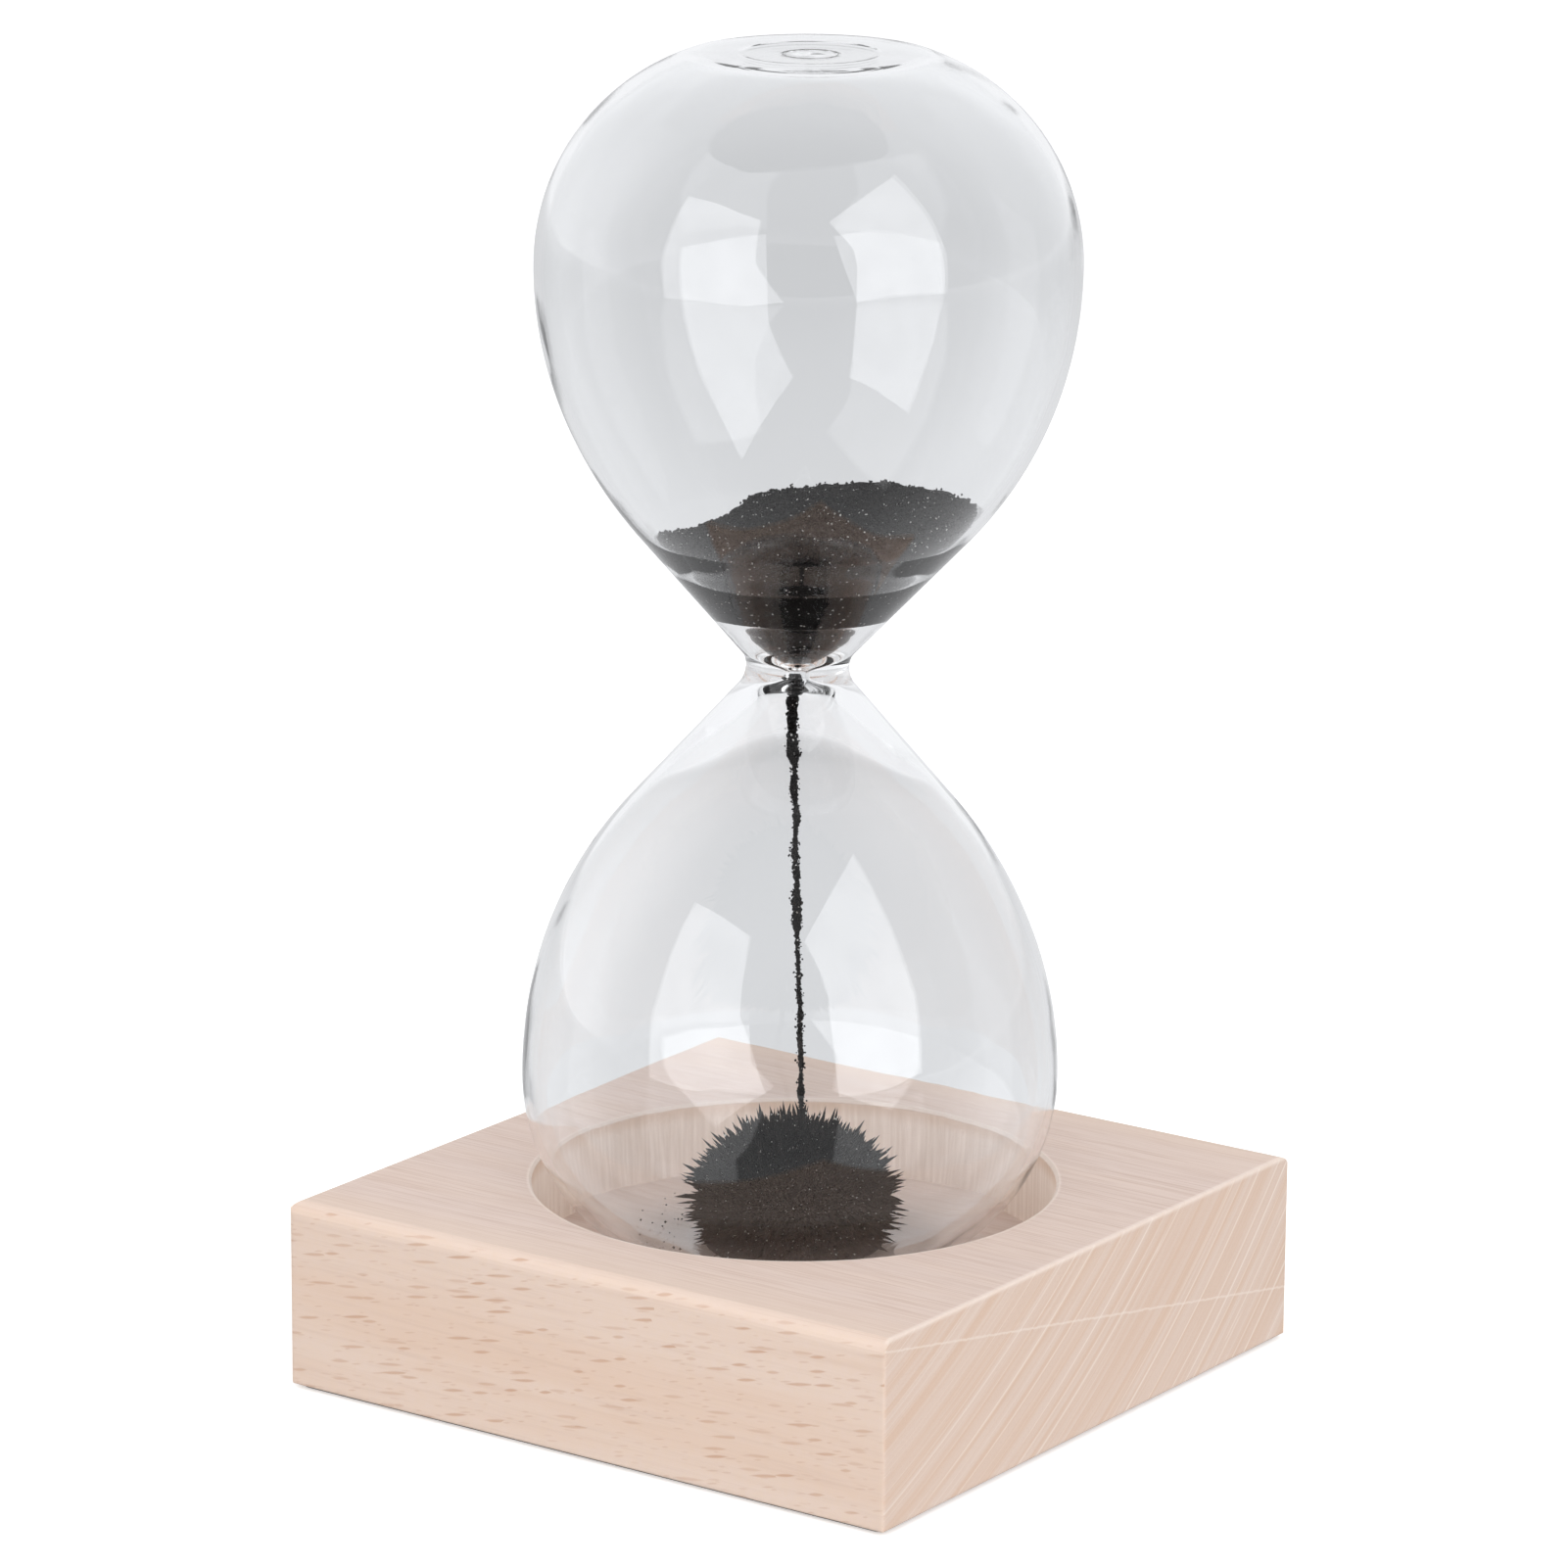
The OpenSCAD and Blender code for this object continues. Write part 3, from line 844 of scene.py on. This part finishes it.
def make_heap(material):
    """The powder that still waits: it fills the funnel, and its surface slopes."""
    rng = random.Random(11)
    tip_z = NECK_Z + HEAP_TIP
    points, faces, rows = [Vector((0, 0, tip_z))], [], []
    turns = [math.tau * j / HEAP_SEGMENTS for j in range(HEAP_SEGMENTS)]
    rims = [heap_rim(a) for a in turns]

    def add_row(make):
        rows.append(len(points))
        points.extend(make(a, rim) for a, rim in zip(turns, rims))

    def on_wall(share):
        def make(a, rim):
            ragged = 0.5 * noise.noise(Vector((math.cos(a) * 9, math.sin(a) * 9, 3.0)))
            high = heap_surface(rim * math.cos(a), rim * math.sin(a)) + ragged * 0.7
            z = tip_z + (high - tip_z) * share
            return around_axis(inner_radius(z) - wall_gap(z), a, z)
        return make

    def on_top(share):
        def make(a, rim):
            r = rim * (1 - share) - 0.1
            return heap_top(r * math.cos(a), r * math.sin(a))
        return make

    for i in range(HEAP_WALL_ROWS + 1):
        add_row(on_wall(i / HEAP_WALL_ROWS))
    for i in range(1, HEAP_TOP_ROWS):
        add_row(on_top(i / HEAP_TOP_ROWS))
    points.append(heap_top(0, 0))
    for low, high in zip(rows, rows[1:]):
        bridge(faces, low, high, HEAP_SEGMENTS)
    for j in range(HEAP_SEGMENTS):
        k = (j + 1) % HEAP_SEGMENTS
        faces.append([0, rows[0] + k, rows[0] + j])
        faces.append([rows[-1] + j, rows[-1] + k, len(points) - 1])
    for _ in range(HEAP_GRAINS):
        a = rng.uniform(0, math.tau)
        r = (heap_rim(a) - 0.15) * math.sqrt(rng.random())
        centre = heap_top(r * math.cos(a), r * math.sin(a), lift=0.05)
        add_grain(points, faces, rng, centre, rng.uniform(0.1, 0.3))
    make_powder("iron_heap", [lean(p) for p in points], faces, material, "powder_heap")


STREAM_TOP = NECK_Z - 0.4
STREAM_END = CLUMP_HIGH.z + 0.1
STREAM_STEPS = 420
STREAM_SIDES = 9
STREAM_GRAINS = 2200
STRAY_GRAINS = 26

# The falling stream's radius, as (distance below the neck, radius): two blobs, a bundle of loose
# strands, then a thread that thickens once and all but breaks
STREAM = [(0.4, 0.5), (1.0, 0.74), (1.9, 0.86), (2.7, 0.72), (3.0, 0.42), (3.5, 0.66), (4.4, 0.7),
          (5.0, 0.5), (5.8, 0.66), (8.0, 0.7), (10.2, 0.66), (11.0, 0.36), (14.0, 0.4),
          (20.0, 0.34), (24.0, 0.42), (27.0, 0.55), (30.5, 0.5), (32.5, 0.2), (36.0, 0.24),
          (40.0, 0.32), (56.0, 0.34)]


def stream_radius(down):
    """The stream's mean radius at a distance below the neck."""
    for (d0, r0), (d1, r1) in zip(STREAM, STREAM[1:]):
        if down <= d1:
            return r0 + (r1 - r0) * max(down - d0, 0) / (d1 - d0)
    return STREAM[-1][1]


def make_stream(material):
    """Powder falling from the throat: a wavering thread of clinging grains, thinner as it falls.
    share is how far down the stream a point lies, from 0 to 1."""
    rng = random.Random(5)
    fall = STREAM_TOP - STREAM_END

    def centre(share):
        wander = Vector((noise.noise(Vector((share * 11, 0, 0))),
                         noise.noise(Vector((0, share * 11, 4))), 0))
        free = smooth_step(share, 0.02, 0.08)
        sway = SIDEWAYS * (-0.3 - 0.35 * free + 1.5 * share)
        calm = 0.1 + 0.25 * smooth_step(share, 0.05, 0.3)
        return sway + wander * calm + Vector((0, 0, STREAM_TOP - fall * share))

    def radius(share):
        lumps = 0.82 + 0.5 * noise.noise(Vector((share * 26, 7, 0)))
        lumps += 0.35 * noise.noise(Vector((share * 90, 3, 0)))
        rough = smooth_step(share, 0.04, 0.12)
        mean = stream_radius(NECK_Z - STREAM_TOP + fall * share)
        return max(0.1, mean * (1 - rough + rough * lumps))

    points, faces = [], []
    for i in range(STREAM_STEPS + 1):
        share = i / STREAM_STEPS
        mid, r = centre(share), radius(share)
        for j in range(STREAM_SIDES):
            out = around_axis(1, math.tau * j / STREAM_SIDES)
            bump = noise.noise(Vector((out.x * 2, out.y * 2, share * 150)))
            points.append(mid + out * (r * (1 + 0.45 * bump)))
    starts = range(0, len(points), STREAM_SIDES)
    for low, high in zip(starts, starts[1:]):
        bridge(faces, high, low, STREAM_SIDES)
    faces.append(list(range(STREAM_SIDES)))
    faces.append([starts[-1] + j for j in reversed(range(STREAM_SIDES))])
    for _ in range(STREAM_GRAINS):
        share = rng.random() ** 1.3
        a = rng.uniform(0, math.tau)
        away = radius(share) * rng.uniform(0.6, 1.1)
        away += (rng.random() ** 9) * 0.4 * smooth_step(share, 0.05, 0.12)
        place = centre(share) + around_axis(1, a) * away
        add_grain(points, faces, rng, place, rng.uniform(0.08, 0.19))
    make_powder("iron_stream", points, faces, material, "powder_stream")


def make_stray_grains(material):
    """Loose grains on the glass to the left of the clump."""
    rng = random.Random(3)
    points, faces = [], []
    for _ in range(STRAY_GRAINS):
        r = CLUMP_R + 1.8 + 5.2 * rng.random() ** 1.3
        a = HEAP_TURN + math.pi + math.radians(rng.uniform(-48, 42))
        size = rng.uniform(0.08, 0.18)
        place = around_axis(r, a, floor_height(r) + size + POWDER_GAP)
        add_grain(points, faces, rng, place, size)
    make_powder("iron_stray_grains", points, faces, material, "stray_grains")


# ---------------------------------------------------------------- stage and light

FLOOR_HALF = 4000.0
PANEL_CENTRE = Vector((0, 0, 90))
PANEL_DISTANCE = 1300
LAMP_TARGET = Vector((0, 0, 75))
RECESS_FILL_Z = BASE_TOP + 13

# The reflecting panels' corners, as (azimuth from the camera's, elevation) seen from the object
PANELS = {
    "panel_left": [(-60, -6), (-10, -3), (-23, 16), (-24, 37), (-64, 39), (-64, 10)],
    "panel_right": [(20, -3), (58, -2), (61, 15), (59, 40), (58, 55), (9, 37), (19, 22)],
}

# The soft lamps: azimuth from the camera's, elevation, distance, width, height, and how bright
# they are beside white
FILLS = {
    "fill_left": (-37, 14, 1000, 1050, 950, 2.0),
    "fill_right": (42, 14, 1000, 1050, 950, 2.6),
    "fill_high": (0, 50, 1300, 1500, 1500, 0.5),
    "fill_top": (0, 80, 1300, 1500, 1500, 0.3),
}


def make_floor():
    """Plain pale floor. It is near white where it is looked at directly. In the glass and through
    it, it is light grey and a little glossy. It throws an even light back up, as a studio sweep
    does."""
    s = Shader("pale_floor")
    x, y = s.parts(s.place())[:2]
    far = s.distance(x, y)
    near_grey = s.fade(far, 80.0, 800.0, 0.84, 0.62)
    grey = s.math("MULTIPLY_ADD", near_grey, 0.55, s.fade(far, 400.0, 3000.0, 0.0, 0.27))
    gloss = s.add("ShaderNodeBsdfGlossy", {"Color": rgb(0.35, 0.35, 0.35), "Roughness": 0.03})
    in_glass = s.both(s.light(COOL_WHITE, grey), gloss.outputs[0])
    paper = s.add("ShaderNodeBsdfDiffuse", {"Color": rgb(0.9, 0.9, 0.9)})
    direct = s.both(paper.outputs[0], s.light(WHITE, s.fade(far, 600.0, 2500.0, 0.3, 1.0)))
    surface = s.seen_by("Is Diffuse Ray", direct, s.light(WHITE, 0.6))
    surface = s.seen_by("Is Glossy Ray", surface, in_glass)
    corners = [Vector((sx, sy, 0)) * FLOOR_HALF
               for sx, sy in ((-1, -1), (1, -1), (1, 1), (-1, 1))]
    add_mesh("floor", corners, [(0, 1, 2, 3)], s.finish(surface))


def make_world():
    """Even pale surroundings, darker behind the camera and lighter on the left, as in a studio."""
    world = bpy.data.worlds.new("studio")
    bpy.context.scene.world = world
    s = Shader("studio", world)
    way = s.add("ShaderNodeTexCoord").outputs["Generated"]
    front = s.vector("DOT_PRODUCT", way, direction(CAM_AZIMUTH, 0), output="Value")
    left = s.vector("DOT_PRODUCT", way, -SIDEWAYS, output="Value")
    level = s.times(s.fade(front, -0.25, 0.35, 0.95, 0.34), s.fade(left, 0.5, 0.95, 1.0, 1.7))
    level = s.times(level, s.fade(left, -0.95, -0.5, 0.7, 1.0))
    level = s.times(level, s.fade(front, 0.8, 0.97, 1.0, 0.5))
    dim = s.light(COOL_WHITE, level, "ShaderNodeBackground")
    bright = s.light(WHITE, 1.0, "ShaderNodeBackground")
    s.add("ShaderNodeOutputWorld", {"Surface": s.seen_by("Is Camera Ray", dim, bright)})


def make_panel(name, corners):
    """A studio panel that only shows as a reflection."""
    s = Shader(name)
    uneven = s.noise(s.place(), scale=0.004, detail=1.0)
    glow = s.light(COOL_WHITE, s.fade(uneven, 0.3, 0.7, 2.1, 2.5))
    points = [PANEL_CENTRE + direction(CAM_AZIMUTH + a, e) * PANEL_DISTANCE for a, e in corners]
    panel = add_mesh(name, points, [tuple(range(len(points)))], s.finish(glow))
    panel.visible_camera = False
    panel.visible_diffuse = False
    panel.visible_shadow = False


def add_lamp(name, kind):
    """A lamp that lights what is around it and isn't seen itself, not even in the glass."""
    lamp = bpy.data.objects.new(name, bpy.data.lights.new(name, kind))
    lamp.visible_camera = False
    lamp.visible_transmission = False
    lamp.visible_glossy = False
    bpy.context.scene.collection.objects.link(lamp)
    return lamp


def make_fill(name, azimuth, elevation, distance, width, height, radiance):
    """A rectangular soft lamp that faces the object."""
    lamp = add_lamp(name, "AREA")
    lamp.data.shape = "RECTANGLE"
    lamp.data.size, lamp.data.size_y = width * MM, height * MM
    lamp.data.energy = radiance * math.pi * lamp.data.size * lamp.data.size_y
    back = direction(CAM_AZIMUTH + azimuth, elevation)
    turn = (-back).to_track_quat("-Z", "Y").to_matrix().to_4x4()
    lamp.matrix_world = Matrix.Translation((LAMP_TARGET + back * distance) * MM) @ turn


def make_recess_fill():
    """Stands for the light that the glass gathers into the recess, which the renderer leaves out.
    It moves with the glass."""
    lamp = add_lamp("recess_fill", "POINT")
    lamp.data.energy = 0.011
    lamp.data.shadow_soft_size = 5 * MM
    lamp.location = (0, 0, RECESS_FILL_Z * MM)
    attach(lamp, "glass")


def make_stage():
    make_floor()
    make_world()
    for name, corners in PANELS.items():
        make_panel(name, corners)
    for name, settings in FILLS.items():
        make_fill(name, *settings)
    make_recess_fill()
    scene = bpy.context.scene
    scene.view_settings.view_transform = "Standard"
    scene.cycles.use_denoising = True
    scene.cycles.use_adaptive_sampling = False
    scene.cycles.max_bounces = 24
    scene.cycles.glossy_bounces = 16
    scene.cycles.transmission_bounces = 16
    scene.cycles.transparent_max_bounces = 24


# ---------------------------------------------------------------- assembly


def dress(node, material):
    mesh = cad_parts[node].data
    mesh.materials.clear()
    mesh.materials.append(material)


def main():
    make_camera()
    make_stage()
    dress("base_block", beech())
    dress("base_magnet", nickel_plate())
    dress("magnet_glue", hot_melt())
    dress("base_liner", felt_and_painted_shade())
    glass = clear_glass()
    make_glass(glass)
    make_seal(glass)
    powder = iron_powder()
    make_clump(powder)
    make_heap(powder)
    make_stream(powder)
    make_stray_grains(powder)


main()
